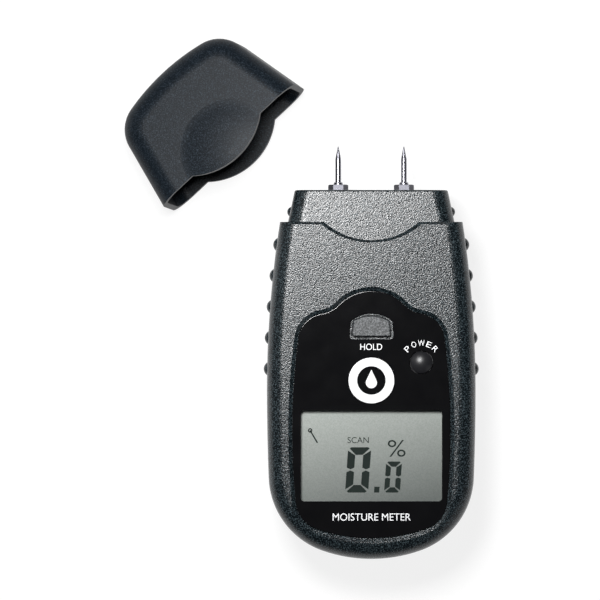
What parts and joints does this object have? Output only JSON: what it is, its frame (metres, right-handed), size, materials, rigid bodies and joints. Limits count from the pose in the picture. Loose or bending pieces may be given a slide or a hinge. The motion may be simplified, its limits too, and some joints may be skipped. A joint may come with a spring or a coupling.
{
  "type": "moisture meter",
  "caption": "Handheld pin-type moisture meter with a display, two push buttons, probe pins and a push-on protective cap laid beside it.",
  "frame": {"origin": "middle of the back rest face of the meter, which lies on its back", "axes": "+Z out of the display, +Y along the meter towards the probe pins, +X to the reader's right"},
  "size_m": [0.112, 0.1644, 0.0354],
  "materials": {
    "case": "fine spark-textured charcoal ABS",
    "panel": "gloss black printed panel",
    "lens": "clear acrylic",
    "display": "grey-green reflective display glass",
    "frame": "natural moulded plastic",
    "contact_strip": "elastomer strip",
    "hold_key": "fine textured grey",
    "power_key": "smooth black",
    "switch": "moulded black",
    "board": "green solder resist",
    "chip": "black moulding compound",
    "screw": "zinc plated",
    "pin": "polished stainless steel",
    "nut": "nickel plated",
    "socket": "turned brass",
    "lead_black": "PVC insulation",
    "lead_red": "PVC insulation",
    "battery": "plain painted steel jacket",
    "terminal": "nickel plated",
    "snap": "vinyl",
    "pad": "closed-cell foam",
    "cap": "satin charcoal ABS"
  },
  "bodies": {
    "meter": {"front_cover": "case", "rear_cover": "case", "panel_overlay": "panel", "display_window": "lens", "lcd_glass": "display", "lcd_frame": "frame", "lcd_contact_strip": "contact_strip", "hold_switch": "switch", "power_switch": "switch", "circuit_board": "board", "main_chip": "chip", "small_components": "chip", "board_screws": "screw", "left_probe_pin": "pin", "right_probe_pin": "pin", "left_pin_nut": "nut", "right_pin_nut": "nut", "left_pin_socket": "socket", "right_pin_socket": "socket", "left_probe_lead": "lead_black", "right_probe_lead": "lead_red", "battery": "battery", "battery_terminals": "terminal", "battery_snap": "snap", "battery_pad": "pad", "battery_lead_black": "lead_black", "battery_lead_red": "lead_red", "case_screws": "screw"},
    "hold_key": {"hold_button": "hold_key", "hold_switch_plunger": "switch"},
    "power_key": {"power_button": "power_key", "power_switch_plunger": "switch"},
    "battery_door": {"battery_door": "case"},
    "cap": {"protective_cap": "cap"}
  },
  "joints": [
    {"name": "hold_press", "type": "slide", "parent": "meter", "child": "hold_key", "axis": [0, 0, -1], "range_m": [0, 0.0005], "stiffness_N_per_m": 3000, "springref_m": -0.0002},
    {"name": "power_press", "type": "slide", "parent": "meter", "child": "power_key", "axis": [0, 0, -1], "range_m": [0, 0.0005], "stiffness_N_per_m": 3000, "springref_m": -0.0002},
    {"name": "door_slide", "type": "slide", "parent": "meter", "child": "battery_door", "axis": [0, -1, 0], "range_m": [0, 0.056]},
    {"name": "cap_swing", "type": "hinge", "parent": "meter", "child": "cap", "pos_m": [0, 0.024, 0], "axis": [0, 0, -1], "range_deg": [0, 42.3]}
  ]
}
